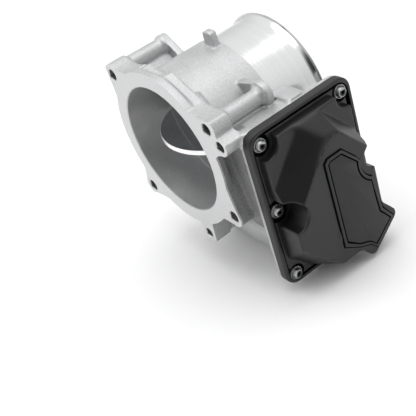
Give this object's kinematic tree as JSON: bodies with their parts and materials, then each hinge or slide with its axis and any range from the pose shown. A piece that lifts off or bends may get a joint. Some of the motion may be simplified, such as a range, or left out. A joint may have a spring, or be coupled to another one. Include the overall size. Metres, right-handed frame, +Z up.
{
  "type": "electronic throttle body",
  "caption": "Cast aluminium throttle body with a bolted mounting flange, a hose spigot, a turning plate on a shaft and a geared motor under a black plastic cover with a socket.",
  "frame": {"origin": "centre of the bore on the face of the mounting flange", "axes": "+Y along the bore from the mounting flange to the hose spigot, +X along the throttle shaft towards the gear cover, +Z up"},
  "size_m": [0.1365, 0.084, 0.1351],
  "materials": {
    "cast_aluminium": "bead-blasted casting with machined faces",
    "cover_plastic": "fine-grained moulded plastic",
    "zinc_plated_steel": "bright zinc plate",
    "bearing_steel": "ground steel",
    "shaft_steel": "ground steel",
    "plate_metal": "polished face with a turned edge",
    "gear_nylon": "natural nylon",
    "connector_brass": "plain",
    "circuit_board": "lacquered laminate",
    "seal_rubber": "matt",
    "field_magnet": "sintered ferrite, stood in for by a matt dark solid"
  },
  "bodies": {
    "housing": {"throttle_housing": "cast_aluminium", "gear_cover": "cover_plastic", "cover_panel": "cover_plastic", "cover_washer_1": "zinc_plated_steel", "cover_screw_1": "zinc_plated_steel", "cover_washer_2": "zinc_plated_steel", "cover_screw_2": "zinc_plated_steel", "cover_washer_3": "zinc_plated_steel", "cover_screw_3": "zinc_plated_steel", "cover_washer_4": "zinc_plated_steel", "cover_screw_4": "zinc_plated_steel", "cover_washer_5": "zinc_plated_steel", "cover_screw_5": "zinc_plated_steel", "connector_pin_1": "connector_brass", "connector_pin_2": "connector_brass", "connector_pin_3": "connector_brass", "connector_pin_4": "connector_brass", "connector_pin_5": "connector_brass", "connector_pin_6": "connector_brass", "sensor_board": "circuit_board", "shaft_seal": "seal_rubber", "drive_bearing": "bearing_steel", "end_bearing": "bearing_steel", "end_plug": "bearing_steel", "return_spring": "bearing_steel", "idler_pin": "bearing_steel", "motor_can": "bearing_steel", "motor_plate": "zinc_plated_steel", "motor_screw_1": "zinc_plated_steel", "motor_screw_2": "zinc_plated_steel", "field_magnet_1": "field_magnet", "field_magnet_2": "field_magnet"},
    "throttle": {"throttle_shaft": "shaft_steel", "throttle_plate": "plate_metal", "plate_screw_1": "zinc_plated_steel", "plate_screw_2": "zinc_plated_steel", "sector_gear": "gear_nylon", "sensor_magnet": "cover_plastic"},
    "idler": {"idler_gear": "gear_nylon"},
    "rotor": {"motor_shaft": "shaft_steel", "motor_armature": "bearing_steel", "motor_pinion": "connector_brass"}
  },
  "joints": [
    {"name": "throttle_turn", "type": "hinge", "parent": "housing", "child": "throttle", "pos_m": [0, 0.0414, 0], "axis": [1, 0, 0], "range_deg": [0, 84]},
    {"name": "idler_turn", "type": "hinge", "parent": "housing", "child": "idler", "pos_m": [0.0555, 0.04764, -0.03317], "axis": [1, 0, 0], "range_deg": [-241, 1]},
    {"name": "rotor_turn", "type": "hinge", "parent": "housing", "child": "rotor", "pos_m": [0, 0.0414, -0.062], "axis": [1, 0, 0], "range_deg": [-1, 941]}
  ],
  "couplings": [
    {"joint": "idler_turn", "follows": "throttle_turn", "ratio": -2.8571},
    {"joint": "rotor_turn", "follows": "throttle_turn", "ratio": 11.19}
  ]
}
